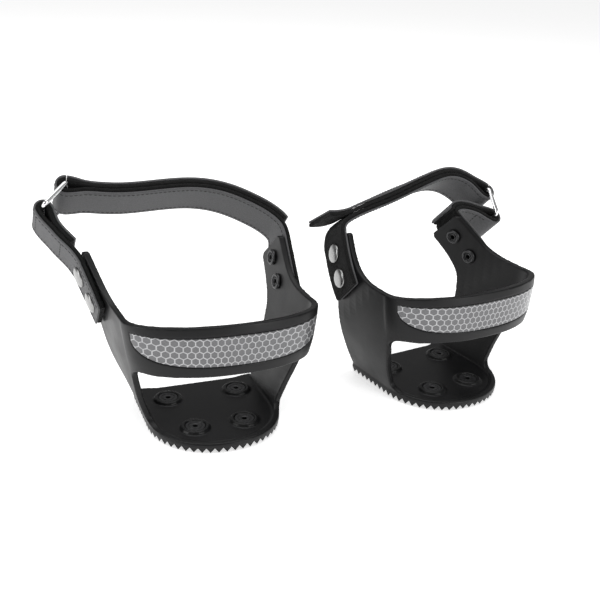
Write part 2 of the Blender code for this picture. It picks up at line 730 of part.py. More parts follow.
def make_ring(build, steel):
    """Rounded rectangle of wire whose long bars lie in the folds of the two straps."""
    near = plane_point(*build.cleat["near_bar"])
    far = plane_point(*build.cleat["far_bar"])
    over = (far - near).normalized()
    thick = ACROSS.cross(over)
    center = (near + far) / 2
    half_over = 0.5 * (far - near).length
    rings = []
    for corner in range(4):
        a, b = ((1, 1), (-1, 1), (-1, -1), (1, -1))[corner]
        middle = center + ACROSS * a * (RING_HALF_LENGTH - RING_CORNER) \
            + over * b * (half_over - RING_CORNER)
        for k in range(4):
            turn = 0.5 * math.pi * (corner + k / 3)
            out = ACROSS * math.cos(turn) + over * math.sin(turn)
            rings.append([middle + out * (RING_CORNER + WIRE_RADIUS * math.cos(t))
                          + thick * WIRE_RADIUS * math.sin(t)
                          for t in (math.pi * s / 4 for s in range(8))])
    bm = bmesh.new()
    loft(bm, rings, closed=True)
    build.add("ring", bm, steel, near)


# ---------------------------------------------------------------- rivets

def make_rivets(build, nickel, dark):
    stack = 0.5 * WALL + GAP + PLY - 0.5 * GAP
    seat = stack + GAP
    inner = -0.5 * WALL - 2.0 * GAP
    dome = ((0.0, seat), (CAP_RADIUS, seat), (CAP_RADIUS, seat + 0.4),
            (0.87 * CAP_RADIUS, seat + 0.62 * CAP_HEIGHT), (0.5 * CAP_RADIUS, seat + 0.93 * CAP_HEIGHT),
            (0.0, seat + CAP_HEIGHT))
    post = ((0.0, stack), (SHANK_RADIUS, stack), (SHANK_RADIUS, inner), (FLANGE_RADIUS, inner),
            (FLANGE_RADIUS, inner - 0.7), (FLANGE_RADIUS - 0.6, inner - 1.1), (2.6, inner - 1.1),
            (2.4, inner - 1.6), (1.5, inner - 1.6), (1.5, 0.0), (0.0, 0.0))
    for side, word in ((-1, "strap"), (1, "tab")):
        for number, place in enumerate(rivet_places(build.cleat, side), 1):
            build.add("%s_rivet_cap_%d" % (word, number), turned_piece(dome, 14, place), nickel)
            build.add("%s_rivet_post_%d" % (word, number), turned_piece(post, 10, place), dark)


def rivet_hole_guide(build):
    bm = bmesh.new()
    for side in (-1, 1):
        for place in rivet_places(build.cleat, side):
            turned(bm, rod(SHANK_RADIUS + GAP, 0.0, THROUGH), 10, place)
    return build.cutter("rivet_hole_guide", bm)


# ---------------------------------------------------------------- assembly

def make_cleat(cleat, materials):
    build = Builder(cleat)
    make_shell(build, materials["rubber"])
    make_strip(build, materials["film"])
    make_studs(build, materials["stud"], materials["carbide"])
    holes = rivet_hole_guide(build)
    make_long_strap(build, materials["coated"], materials["pile"], holes)
    make_flap(build, materials["coated"], materials["hook"])
    make_tab(build, materials["coated"], materials["pile"], holes)
    make_ring(build, materials["chrome"])
    make_rivets(build, materials["nickel"], materials["dark_steel"])
    return build


def stand_on_origin(builds):
    """Move both cleats so that the origin is under the middle of the pair's box."""
    bpy.context.view_layer.update()
    graph = bpy.context.evaluated_depsgraph_get()
    places = []
    for item in bpy.data.objects:
        if item.type == 'MESH' and not item.hide_render:
            final = item.evaluated_get(graph)
            places += [final.matrix_world @ vert.co for vert in final.data.vertices]
    low = [min(place[i] for place in places) for i in range(3)]
    high = [max(place[i] for place in places) for i in range(3)]
    for build in builds:
        build.base.location -= Vector((0.5 * (low[0] + high[0]), 0.5 * (low[1] + high[1]), low[2]))
    bpy.context.view_layer.update()


def main():
    clear_scene()
    materials = {
        "rubber": make_material("rubber", (0.022, 0.022, 0.024), 0.5),
        "film": make_material("film", (0.42, 0.42, 0.43), 0.35),
        "stud": make_material("stud", (0.03, 0.03, 0.032), 0.4, 0.6),
        "carbide": make_material("carbide", (0.35, 0.35, 0.36), 0.35, 1.0),
        "coated": make_material("coated", (0.09, 0.09, 0.095), 0.55),
        "pile": make_material("pile", (0.012, 0.012, 0.012), 0.95),
        "hook": make_material("hook", (0.014, 0.014, 0.014), 0.8),
        "chrome": make_material("chrome", (0.75, 0.75, 0.76), 0.12, 1.0),
        "nickel": make_material("nickel", (0.48, 0.48, 0.48), 0.35, 1.0),
        "dark_steel": make_material("dark_steel", (0.05, 0.05, 0.05), 0.35, 0.8),
    }
    stand_on_origin([make_cleat(cleat, materials) for cleat in CLEATS])


main()
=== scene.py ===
"""Visual model of a pair of heel ice cleats: satin rubber shells, hook-and-loop straps, wire rings.

Pieces are drawn in the frame of one cleat, in millimetres: x to the ring side, y towards the toe,
z up. The left cleat is the mirror image of the right one. A place in the tilted plane of the straps
is (p, q): p along x, and q forward and up along the plane; w runs across the straps.
"""
import math

import bmesh
import bpy
from mathutils import Matrix, Vector, noise


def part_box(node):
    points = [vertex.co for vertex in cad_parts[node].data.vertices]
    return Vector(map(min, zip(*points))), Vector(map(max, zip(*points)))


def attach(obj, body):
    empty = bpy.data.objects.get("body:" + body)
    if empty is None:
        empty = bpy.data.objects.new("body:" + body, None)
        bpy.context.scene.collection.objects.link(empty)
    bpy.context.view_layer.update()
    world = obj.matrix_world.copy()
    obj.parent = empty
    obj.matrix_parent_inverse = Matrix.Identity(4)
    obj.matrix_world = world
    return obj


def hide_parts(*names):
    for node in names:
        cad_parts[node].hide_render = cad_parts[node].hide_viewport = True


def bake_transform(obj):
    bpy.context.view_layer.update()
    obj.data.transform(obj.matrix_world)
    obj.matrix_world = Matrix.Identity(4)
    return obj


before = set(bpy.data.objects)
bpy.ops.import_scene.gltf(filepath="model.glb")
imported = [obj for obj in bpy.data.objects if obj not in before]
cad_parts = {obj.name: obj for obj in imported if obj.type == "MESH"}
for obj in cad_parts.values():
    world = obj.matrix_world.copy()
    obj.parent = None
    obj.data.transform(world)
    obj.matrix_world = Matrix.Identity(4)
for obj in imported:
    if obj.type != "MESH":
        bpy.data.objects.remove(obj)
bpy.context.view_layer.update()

MM = 0.001
GAP = 0.3                       # between touching pieces

# Lengths are in millimetres unless said. Those of the shape repeat part.py's.

# Shell surface
WALL = 3.4
SOLE_TOP = 5.0
SOLE_FRONT = 34.0
TOOTH_DEPTH = 2.7
RIM_TEETH = 42                  # pointed teeth along the edge of one sole
RIM_OUTER = 1.9                 # the teeth's roots, out from the middle of the wall
RIM_INNER = -1.7
RIM_ROOT = TOOTH_DEPTH + 0.4
RIM_APEX_SHARE = 0.12           # how far the apex stands in from the outer root
RIM_APEX_HEIGHT = 0.05
HEEL_HALF_WIDTH = 36.6          # middle of the wall, at the sole
WALL_FLARE = 22.0
WALL_FLARE_HEIGHT = 50.0
REAR_AT_SOLE = -38.2
REAR_AT_BAND = -40.0
ARC_START_AT_SOLE = -2.0
ARC_START_AT_BAND = -11.0
BAND_HEIGHT = 46.0
BAND_MIDDLE = 61.5
BAND_SWELL = 1.5
HEEL_POWER = 2.15
Y_REACH = 66.0                  # the untrimmed walls run this far forward

# How finely the walls are drawn, and how they are joined and rounded
WALL_LOW, WALL_HIGH = 2.9, 101.0
WALL_ROWS = 34
HEEL_COLUMNS = 66
SIDE_COLUMNS = 12
TRIM_REACH = 90.0
SOLE_SLAB = 7.2                 # the CAD shell is used up to this height
VOXEL, QUICK_VOXEL = 0.5, 1.0
EASE_PASSES = 5

# Ears and straps
STRAP_TILT = math.radians(45.0)
EAR_MIDDLE = (32.5, 75.0)
EAR_END = 17.0
EAR_HALF_WIDTH = 13.2
EAR_NIP = 1.5
RIVET_PITCH = 16.0
LEAN_START_Q = 50.0
STRAP_WIDTH = 25.0
TAB_WIDTH = 22.5
PILE = 2.3
FACE = 1.2
TAIL_START = 59.0
STRAIGHT_PAST_EAR = 2.0
FAR_OPENING = 2.3
NEAR_OPENING = 1.6
OPENING_REACH = 14.0
EAR_STEPS = 4
STRAP_STEPS = 3
TAB_STEPS = 4
STRAP_EASING = 2
TAB_EASING = 16
RETURN_START = 3
FOLD_STEPS = 8
FLAP_STEPS = 6

# Reflective strip
STRIP_DEPTH = 1.0
STRIP_HALF_HEIGHT = 9.0
STRIP_REACH = math.radians(73.0)
STRIP_STEPS = 72
POCKET_STEPS = 60
POCKET_RADIUS = 50.0            # turns the gap at the strip's ends into an angle
HEX_PITCH = 3.9
HEX_RIDGE = (0.42, 0.12)        # a ridge starts and is whole this far inside the cell's edge
UNROLL_RADIUS = 40.0            # of the round that the honeycomb is drawn on
UNROLL_MIDDLE = -6.0 * MM       # its centre, forward of the cleat's place

# Studs, ring and rivets
STUD_PLACES = ((21.0, 18.1), (-21.0, 18.1), (14.4, -18.1), (-14.4, -18.1))
BOSS_TOP = 6.9
BOSS_RECESS_FLOOR = 5.4
STUD_HEAD_RADIUS = 5.7
STUD_SHANK_RADIUS = 2.4
STUD_FOOT = 1.5
TIP_RADIUS = 1.2
TIP_SEAT = 1.6
WIRE_RADIUS = 1.4
RING_HALF_LENGTH = 15.0
RING_CORNER = 2.3
CAP_RADIUS = 5.8
CAP_HEIGHT = 1.9
FLANGE_RADIUS = 4.8
SHANK_RADIUS = 1.9

# Stitches
STITCH_INSET = 2.4              # from the edge of the webbing
STRAP_STITCH_START = 14         # frame where the long strap's stitches begin
TAB_STITCH_START = 2
TAB_STITCH_END = 54             # frames past the end of the ear
TAB_CROSS_STITCHES = (14, 44)   # rows across the tab, in frames past the end of the ear

# Camera, lights and floor, in metres
CAMERA_FROM_LEFT = Vector((0.0486, -0.4561))
CAMERA_HEIGHT = 0.265
CAMERA_DIP, CAMERA_ROLL = 67.5, 2.84
CAMERA_LENS, CAMERA_SENSOR = 53.7, 36.0
WORLD_STRENGTH = 0.3
FLOOR_GLOW = 0.62
FLOOR_HALF = 6.0
FLOOR_DROP = 0.0003

PLY = 0.5 * GAP + PILE + GAP + FACE
EAR_Q = sum(EAR_MIDDLE) * math.sqrt(0.5)
EAR_W = (EAR_MIDDLE[1] - EAR_MIDDLE[0]) * math.sqrt(0.5)
EAR_END_Q = EAR_Q + EAR_END
PILE_LAYER = (0.5 * GAP, 0.5 * GAP + PILE)
FACE_LAYER = (PLY - FACE, PLY)

ACROSS = Vector((0.0, -math.sin(STRAP_TILT), math.cos(STRAP_TILT)))
ALONG = Vector((0.0, math.cos(STRAP_TILT), math.sin(STRAP_TILT)))
SIDE = Vector((1.0, 0.0, 0.0))

CLEATS = (
    {
        "name": "left", "mirror": True, "yaw": 22.6,
        "lean": {"strap": 2.0, "ring": 3.5}, "twist": 0.11,
        "strap": ((-57.5, 103, 0), (-51, 111, 0), (-41, 118.5, 0), (-26, 127, 0), (-8, 131.5, 0),
                  (13, 131.3, 0), (36, 130.3, 0), (52, 132.3, 0)),
        "far_bar": (67.0, 135.0), "near_bar": (81.0, 121.5),
        "tab": ((70.5, 100.5), (75.5, 108.0), (79.3, 115.5)),
        "flap": (135.0, 0.0, 0.0),
    },
    {
        "name": "right", "mirror": False, "yaw": 32.4,
        "lean": {"strap": -11.5, "ring": -13.0}, "twist": -0.09,
        "strap": ((-51.1, 98.5, 0), (-45.0, 105, 8), (-31, 110.5, 14), (-10, 115.5, 17),
                  (11, 121, 17), (32, 125.8, 14), (46, 127.5, 10), (57, 124.5, 5), (66, 116, 0)),
        "far_bar": (72.3, 108.0), "near_bar": (70.0, 89.1),
        "tab": ((39.0, 98.9), (44.6, 101.6), (54.0, 99.4), (63.0, 94.0)),
        "flap": (120.0, 21.0, -28.0),
    },
)


# ---------------------------------------------------------------- shader helpers

class Shader:
    """A new material and short ways to add nodes to it."""

    def __init__(self, name, roughness, metallic=0.0):
        self.material = bpy.data.materials.new(name)
        self.material.use_nodes = True
        self.tree = self.material.node_tree
        self.surface = self.tree.nodes["Principled BSDF"]
        self.surface.inputs["Roughness"].default_value = roughness
        self.surface.inputs["Metallic"].default_value = metallic
        self.where = self.tree.nodes.new("ShaderNodeTexCoord").outputs["Object"]

    def link(self, value, socket):
        if isinstance(value, bpy.types.NodeSocket):
            self.tree.links.new(value, socket)
        elif isinstance(value, tuple) and len(value) == 3 and len(socket.default_value) == 4:
            socket.default_value = (*value, 1.0)
        else:
            socket.default_value = value

    def math(self, operation, *values):
        node = self.tree.nodes.new("ShaderNodeMath")
        node.operation = operation
        for value, socket in zip(values, node.inputs):
            self.link(value, socket)
        return node.outputs[0]

    def noise(self, size, detail=3.0, distortion=0.0, where=None):
        """Noise whose features are about size millimetres across."""
        node = self.tree.nodes.new("ShaderNodeTexNoise")
        node.inputs["Scale"].default_value = 1.0 / (size * MM)
        node.inputs["Detail"].default_value = detail
        node.inputs["Distortion"].default_value = distortion
        self.link(where or self.where, node.inputs["Vector"])
        return node.outputs["Fac"]

    def spread(self, value, low, high, to_low, to_high):
        node = self.tree.nodes.new("ShaderNodeMapRange")
        for part, socket in zip((value, low, high, to_low, to_high), node.inputs):
            self.link(part, socket)
        return node.outputs[0]

    def mix(self, share, first, second):
        node = self.tree.nodes.new("ShaderNodeMix")
        node.data_type = 'RGBA'
        self.link(share, node.inputs["Factor"])
        self.link(first, node.inputs["A"])
        self.link(second, node.inputs["B"])
        return node.outputs["Result"]

    def bump(self, height, distance, strength=1.0, onto=None):
        """Relief of the given height in millimetres, optionally added to another relief."""
        node = self.tree.nodes.new("ShaderNodeBump")
        node.inputs["Strength"].default_value = strength
        node.inputs["Distance"].default_value = distance * MM
        self.link(height, node.inputs["Height"])
        if onto:
            self.link(onto, node.inputs["Normal"])
        return node.outputs[0]

    def color(self, value):
        self.link(value, self.surface.inputs["Base Color"])

    def rough(self, value):
        self.link(value, self.surface.inputs["Roughness"])

    def relief(self, value):
        self.link(value, self.surface.inputs["Normal"])


def rubber_material():
    shader = Shader("satin_rubber", 0.45)
    broad = shader.noise(18.0, 4.0)
    fine = shader.noise(0.5, 2.0)
    shader.color(shader.mix(broad, (0.003, 0.003, 0.0033), (0.006, 0.006, 0.0065)))
    shader.rough(shader.spread(broad, 0.3, 0.7, 0.34, 0.46))
    shader.surface.inputs["Specular IOR Level"].default_value = 0.24
    shader.relief(shader.bump(fine, 0.03, 0.6, shader.bump(broad, 0.15, 0.4)))
    return shader.material


def coated_material():
    """Grey coated webbing with a fine leather-like grain."""
    shader = Shader("coated_webbing", 0.6)
    cells = shader.tree.nodes.new("ShaderNodeTexVoronoi")
    cells.inputs["Scale"].default_value = 1.0 / (0.7 * MM)
    shader.link(shader.where, cells.inputs["Vector"])
    grain = cells.outputs["Distance"]
    mottle = shader.noise(2.2, 4.0)
    shade = shader.mix(mottle, (0.052, 0.052, 0.054), (0.098, 0.098, 0.101))
    shader.color(shader.mix(shader.spread(grain, 0.0, 0.7, 0.35, 0.0), shade, (0.15, 0.15, 0.155)))
    shader.rough(shader.spread(mottle, 0.3, 0.7, 0.5, 0.68))
    shader.surface.inputs["Specular IOR Level"].default_value = 0.3
    shader.relief(shader.bump(grain, 0.08, 0.8, shader.bump(mottle, 0.12, 0.5)))
    return shader.material


def pile_material(name, tone):
    """Black loop pile, or the hook side, whose clumps hold the light a little."""
    shader = Shader(name, 0.95)
    shader.surface.inputs["Specular IOR Level"].default_value = 0.15
    clumps = shader.noise(0.8, 5.0, 1.5)
    tufts = shader.noise(0.28, 3.0)
    lit = tuple(3.2 * part for part in tone)
    shader.color(shader.mix(shader.spread(clumps, 0.4, 0.75, 0.0, 1.0), tone, lit))
    shader.relief(shader.bump(tufts, 0.3, 1.0, shader.bump(clumps, 0.5, 0.9)))
    shader.surface.inputs["Sheen Weight"].default_value = 0.06
    shader.surface.inputs["Sheen Roughness"].default_value = 0.5
    return shader.material


def thread_material():
    shader = Shader("stitch_thread", 0.7)
    twist = shader.noise(0.25, 2.0, 2.0)
    shader.color(shader.mix(twist, (0.005, 0.005, 0.005), (0.016, 0.016, 0.016)))
    shader.relief(shader.bump(twist, 0.06, 0.8))
    return shader.material


def metal_material(name, low, high, rough_low, rough_high, metallic=1.0, brushed=1.5):
    shader = Shader(name, rough_low, metallic)
    wear = shader.noise(brushed, 4.0, 0.6)
    shader.color(shader.mix(wear, low, high))
    shader.rough(shader.spread(wear, 0.3, 0.7, rough_low, rough_high))
    shader.relief(shader.bump(shader.noise(0.35, 2.0), 0.012, 0.5))
    return shader.material


def film_material(cleat):
    """Reflective film: grey honeycomb cells between paler ridges, on the unrolled band."""
    shader = Shader(cleat.name + "_reflective_film", 0.33)
    move = shader.tree.nodes.new("ShaderNodeMapping")
    move.vector_type = 'TEXTURE'
    move.inputs["Location"].default_value = (*(cleat.place * MM), 0.0)
    move.inputs["Rotation"].default_value = (0.0, 0.0, math.radians(cleat.yaw))
    shader.link(shader.where, move.inputs["Vector"])
    split = shader.tree.nodes.new("ShaderNodeSeparateXYZ")
    shader.link(move.outputs[0], split.inputs[0])
    x, y, z = split.outputs
    back = shader.math('SUBTRACT', UNROLL_MIDDLE, y)
    around = shader.math('MULTIPLY', shader.math('ARCTAN2', x, back), UNROLL_RADIUS)
    height = shader.math('MULTIPLY', z, 1.0 / MM)

    def nearest(shift):
        """Offset from the nearest centre of one of the two lattices that make up the honeycomb."""
        wide, tall = HEX_PITCH, HEX_PITCH * math.sqrt(3.0)
        u = shader.math('ADD', around, 0.5 * wide * shift)
        v = shader.math('ADD', height, 0.5 * tall * shift)
        u = shader.math('SUBTRACT', u, shader.math('MULTIPLY', wide, shader.math(
            'ROUND', shader.math('DIVIDE', u, wide))))
        v = shader.math('SUBTRACT', v, shader.math('MULTIPLY', tall, shader.math(
            'ROUND', shader.math('DIVIDE', v, tall))))
        return shader.math('ABSOLUTE', u), shader.math('ABSOLUTE', v)

    def depth(offsets):
        """Distance to the cell's centre in the hexagon's own measure: half the pitch at its edge."""
        u, v = offsets
        slanted = shader.math('ADD', shader.math('MULTIPLY', u, 0.5),
                              shader.math('MULTIPLY', v, math.sqrt(0.75)))
        return shader.math('MAXIMUM', u, slanted)

    edge = shader.math('MINIMUM', depth(nearest(0)), depth(nearest(1)))
    ridge = shader.spread(edge, 0.5 * HEX_PITCH - HEX_RIDGE[0], 0.5 * HEX_PITCH - HEX_RIDGE[1], 0.0, 1.0)
    sparkle = shader.noise(0.35, 2.0)
    cell = shader.mix(sparkle, (0.07, 0.07, 0.073), (0.14, 0.14, 0.145))
    shader.color(shader.mix(ridge, cell, (0.42, 0.42, 0.43)))
    shader.rough(shader.spread(sparkle, 0.3, 0.7, 0.26, 0.42))
    shader.surface.inputs["Metallic"].default_value = 0.35
    shader.surface.inputs["Coat Weight"].default_value = 0.5
    shader.surface.inputs["Coat Roughness"].default_value = 0.18
    shader.relief(shader.bump(ridge, 0.22, 1.0, shader.bump(sparkle, 0.03, 0.5)))
    return shader.material


# ---------------------------------------------------------------- surface of the shell

def smoothstep(x):
    x = min(max(x, 0.0), 1.0)
    return x * x * (3.0 - 2.0 * x)


def plane_point(p, q, w=EAR_W):
    """Place in the cleat's frame of a place in the tilted plane of the straps."""
    c, s = math.cos(STRAP_TILT), math.sin(STRAP_TILT)
    return Vector((p, c * q - s * w, s * q + c * w))


def spline(points, steps):
    """Smooth curve through points of any dimension, steps samples per stretch."""
    points = [Vector(point) for point in points]
    spans = [max((b - a).length, 1e-6) for a, b in zip(points, points[1:])]
    slopes = [(b - a) / span for a, b, span in zip(points, points[1:], spans)]
    slopes = [slopes[0]] + slopes + [slopes[-1]]
    weights = [spans[0]] + spans + [spans[-1]]
    turns = [(slopes[i] * weights[i + 1] + slopes[i + 1] * weights[i]) / (weights[i] + weights[i + 1])
             for i in range(len(points))]
    curve = []
    for i, span in enumerate(spans):
        a, b = points[i], points[i + 1]
        for k in range(steps):
            t = k / steps
            bend = turns[i] * (t - 2 * t * t + t ** 3) + turns[i + 1] * (t ** 3 - t * t)
            curve.append(a + (b - a) * smoothstep(t) + bend * span)
    curve.append(points[-1])
    return curve


def relaxed(curve, start, passes):
    """The curve with its points after start averaged with their neighbours."""
    curve = list(curve)
    for _ in range(passes):
        middles = [0.5 * b + 0.25 * (a + c) for a, b, c in zip(curve, curve[1:], curve[2:])]
        curve[start:-1] = middles[start - 1:]
    return curve


def wall_half_width(z):
    return HEEL_HALF_WIDTH + WALL_FLARE * (1.0 - math.exp((SOLE_TOP - z) / WALL_FLARE_HEIGHT))


def wall_shift(cleat, side, y, z):
    """Sideways lean of an ear and twist of the walls, from the cleat's own shape."""
    lean = cleat["lean"]["ring" if side > 0 else "strap"]
    q = min((y + z) * math.sqrt(0.5), EAR_END_Q + 5.0)
    ear = side * lean * (max(q - LEAN_START_Q, 0.0) / (EAR_END_Q - LEAN_START_Q)) ** 1.5
    return ear + cleat["twist"] * y * smoothstep((z - SOLE_TOP) / (BAND_HEIGHT - SOLE_TOP))


def heel_arc(z):
    """Where the heel's curve starts, and how far back it reaches from there."""
    share = smoothstep((z - SOLE_TOP) / (BAND_HEIGHT - SOLE_TOP))
    start = ARC_START_AT_SOLE + (ARC_START_AT_BAND - ARC_START_AT_SOLE) * share
    rear = REAR_AT_SOLE + (REAR_AT_BAND - REAR_AT_SOLE) * share
    return start, start - rear


def heel_curve(turn, half, depth):
    """Superellipse round the heel, as (x, y) from the start of the curve."""
    s, c = math.sin(turn), math.cos(turn)
    return (math.copysign(abs(s) ** (2.0 / HEEL_POWER), s) * half,
            -depth * abs(c) ** (2.0 / HEEL_POWER))


def wall_point(cleat, turn, z):
    """Middle of the wall. Turns within a right angle are round the heel, and larger ones forward."""
    start, depth = heel_arc(z)
    half = wall_half_width(z)
    limit = 0.5 * math.pi
    if abs(turn) <= limit:
        x, y = heel_curve(turn, half, depth)
        y += start
    else:
        x = math.copysign(half, turn)
        y = start + (Y_REACH - start) * (abs(turn) - limit)
    return Vector((x + wall_shift(cleat, math.copysign(1.0, x), y, z), y, z))


def wall_normal(cleat, turn, z):
    """Middle of the wall and its outward direction."""
    step = 0.002
    around = wall_point(cleat, turn + step, z) - wall_point(cleat, turn - step, z)
    up = wall_point(cleat, turn, z + 0.5) - wall_point(cleat, turn, z - 0.5)
    return wall_point(cleat, turn, z), around.cross(up).normalized()


def wall_thickness(turn, z):
    rear = max(math.cos(min(abs(turn), 0.5 * math.pi)), 0.0) ** 0.5
    return WALL + BAND_SWELL * rear * math.exp(-((z - BAND_MIDDLE) / 13.0) ** 4)


def wall_sheet(cleat, turn, z, share):
    """A place in the wall: share -0.5 is its inner face and 0.5 its outer face."""
    here, normal = wall_normal(cleat, turn, z)
    extra = wall_thickness(turn, z) - WALL
    return here + normal * (share * WALL + (share + 0.5) * extra)


def side_profile():
    """Outline of the shell seen from the side, as (y, z): walls, band, ear and rear window."""
    ear_y, ear_z = EAR_MIDDLE
    s = math.sqrt(0.5)
    tip_y, tip_z = ear_y + s * EAR_END, ear_z + s * EAR_END
    top = (tip_y - s * EAR_HALF_WIDTH, tip_z + s * EAR_HALF_WIDTH)
    low = (tip_y + s * EAR_HALF_WIDTH, tip_z - s * EAR_HALF_WIDTH)
    nip = EAR_NIP
    front = spline(((SOLE_FRONT - 1.0, 3.2), (34.2, 12.0), (34.0, 28.0), (33.8, 44.0), (35.6, 55.0),
                    (41.3, 63.8), (low[0] - 2.5 * nip, low[1] - 2.5 * nip)), 8)
    end = [Vector(low) + Vector((-nip, -nip)), Vector(low) + Vector((-nip, nip)),
           Vector(top) + Vector((nip, -nip)), Vector(top) + Vector((-nip, -nip))]
    back = spline(((top[0] - 3 * nip, top[1] - 3 * nip), (23.0, 84.8), (14.8, 78.6), (5.8, 75.2),
                   (-4.0, 73.8), (-16.0, 73.4), (-30.0, 74.8), (-60.0, 78.0)), 8)
    window = spline(((-60.0, 49.0), (-30.0, 46.4), (-19.0, 45.0), (-13.6, 41.3), (-11.4, 32.0),
                     (-8.6, 15.0), (-9.0, 9.0), (-13.0, 6.4), (-19.0, 6.0), (-60.0, 6.0)), 8)
    return front + end + back + window + [Vector((-60.0, 3.2))]


def ear_face(cleat, side, q, outward):
    """Place on an ear, its outward direction and its slope across the strap."""
    def surface(q_at, w_at):
        place = plane_point(0.0, q_at, w_at)
        x = side * wall_half_width(place.z) + wall_shift(cleat, side, place.y, place.z)
        return Vector((x, place.y, place.z))
    here = surface(q, EAR_W)
    along = surface(q + 0.5, EAR_W) - surface(q - 0.5, EAR_W)
    across = surface(q, EAR_W + 0.5) - surface(q, EAR_W - 0.5)
    normal = along.cross(across).normalized()
    if normal.x * side < 0.0:
        normal.negate()
    return here + normal * outward, normal, across.x * side


def strip_edges(share):
    """Lower and upper edge of the reflective strip, by share of its reach."""
    sweep = abs(share)
    top = BAND_MIDDLE + STRIP_HALF_HEIGHT - 1.2 * sweep
    rise = 1.0 - math.sqrt(max(1.0 - sweep ** 3.2, 0.0))
    low = BAND_MIDDLE - STRIP_HALF_HEIGHT + 1.3 + (2.0 * STRIP_HALF_HEIGHT - 5.5) * rise
    return low, top


# ---------------------------------------------------------------- lines of the straps

def ear_line(cleat, side, outward):
    """Line of a strap where it lies on an ear: (p, q, roll in degrees)."""
    line = []
    for k in range(EAR_STEPS + 1):
        q = TAIL_START + (EAR_END_Q + STRAIGHT_PAST_EAR - TAIL_START) * k / EAR_STEPS
        point, _, slope = ear_face(cleat, side, q, outward)
        line.append((point.x, point.dot(ALONG), -math.degrees(math.atan(slope))))
    return line


def line_lengths(line):
    lengths = [0.0]
    for a, b in zip(line, line[1:]):
        lengths.append(lengths[-1] + math.hypot(b[0] - a[0], b[1] - a[1]))
    return lengths


def stations(line, outside, widen):
    """Line as (place, outward, opening, lean), opened up towards its end."""
    lengths = line_lengths(line)
    result = []
    for k, (p, q, roll) in enumerate(line):
        ahead, behind = line[min(k + 1, len(line) - 1)], line[max(k - 1, 0)]
        tangent = Vector((ahead[0] - behind[0], ahead[1] - behind[1])).normalized()
        normal = Vector((-tangent.y, tangent.x)) * outside
        opening = widen * smoothstep(1.0 - (lengths[-1] - lengths[k]) / OPENING_REACH)
        result.append((Vector((p, q)), normal, opening, normal * -math.sin(math.radians(roll))))
    return result


def turned_in(path):
    return [(point, -normal, opening, lean) for point, normal, opening, lean in path]


def fold(path, first, last):
    """Steps of a half turn at the end of the path."""
    point, normal, opening, _ = path[-1]
    ahead = (point - path[-2][0]).normalized()
    result = []
    for k in range(first, last + 1):
        turn = math.pi * k / FOLD_STEPS
        out = normal * math.cos(turn) + ahead * math.sin(turn)
        result.append((point, out, opening, Vector((0.0, 0.0))))
    return result


def long_strap_line(cleat):
    on_ear = ear_line(cleat, -1, 0.5 * WALL + GAP + PLY)
    line = spline([*on_ear, *cleat["strap"], (*cleat["far_bar"], 0.0)], STRAP_STEPS)
    return relaxed(line, EAR_STEPS * STRAP_STEPS, STRAP_EASING)


def flap_stations(cleat):
    line = long_strap_line(cleat)
    lengths = line_lengths(line)
    cover, free, turn = cleat["flap"]
    path = stations(line, 1, FAR_OPENING)
    covered = [path[k] for k in range(len(path)) if lengths[-1] - lengths[k] <= cover]
    covered.reverse()
    point, normal, opening, lean = covered[0]
    covered[0] = (point + (covered[1][0] - point).normalized() * GAP, normal, opening, lean)
    point, normal, opening, lean = covered[-1]
    heading = Vector((-normal.y, normal.x))
    for _ in range(FLAP_STEPS if free else 0):
        heading.rotate(Matrix.Rotation(math.radians(turn / FLAP_STEPS), 2))
        point = point + heading * free / FLAP_STEPS
        covered.append((point, Vector((heading.y, -heading.x)), opening, lean))
    return covered


def tab_stations(cleat):
    on_ear = ear_line(cleat, 1, 0.5 * WALL + GAP)
    rolls = [(p, q, 0.0) for p, q in (*cleat["tab"], cleat["near_bar"])]
    line = relaxed(spline([*on_ear, *rolls], TAB_STEPS), EAR_STEPS * TAB_STEPS - 2, TAB_EASING)
    outer = stations(line, -1, NEAR_OPENING)
    back = turned_in(outer[EAR_STEPS * TAB_STEPS + RETURN_START:])
    return outer + fold(outer, 1, FOLD_STEPS - 1) + back[::-1]


def strap_frames(path, middle, steps=3):
    """Fine frames (centre, outward, across) of a ply whose middle is that far from its stations."""
    rows = []
    for point, normal, opening, lean in path:
        across = ACROSS * math.sqrt(1.0 - lean.length_squared) + SIDE * lean.x + ALONG * lean.y
        out = SIDE * normal.x + ALONG * normal.y
        out = (out - across * out.dot(across)).normalized()
        center = plane_point(point.x, point.y) + out * (opening + middle)
        rows.append(Vector((*center, *(3.0 * out), *(3.0 * across))))
    frames = []
    for row in spline(rows, steps):
        across = Vector(row[6:9]).normalized()
        out = Vector(row[3:6])
        out = (out - across * out.dot(across)).normalized()
        frames.append((Vector(row[0:3]), out, across))
    return frames


# ---------------------------------------------------------------- meshes

def loft(bm, rings, closed=False):
    """Skin rings of equal length, with end caps unless closed into a loop."""
    rows = [[bm.verts.new(point) for point in ring] for ring in rings]
    count = len(rows[0])
    pairs = list(zip(rows, rows[1:]))
    if closed:
        pairs.append((rows[-1], rows[0]))
    for low, high in pairs:
        for i in range(count):
            j = (i + 1) % count
            bm.faces.new((low[i], low[j], high[j], high[i]))
    if not closed:
        bm.faces.new(rows[0])
        bm.faces.new(rows[-1])


def turned(bm, profile, segments, place):
    """Spin a closed (radius, height) profile around z. Points with radius 0 lie on the axis."""
    rows = []
    for radius, height in profile:
        if radius == 0.0:
            rows.append([bm.verts.new(place @ Vector((0.0, 0.0, height)))] * segments)
            continue
        rows.append([bm.verts.new(place @ Vector((radius * math.cos(turn), radius * math.sin(turn),
                                                  height)))
                     for turn in (2.0 * math.pi * k / segments for k in range(segments))])
    for a, b in zip(rows, rows[1:] + rows[:1]):
        for i in range(segments):
            j = (i + 1) % segments
            corners = list(dict.fromkeys((a[i], a[j], b[j], b[i])))
            if len(corners) > 2:
                bm.faces.new(corners)


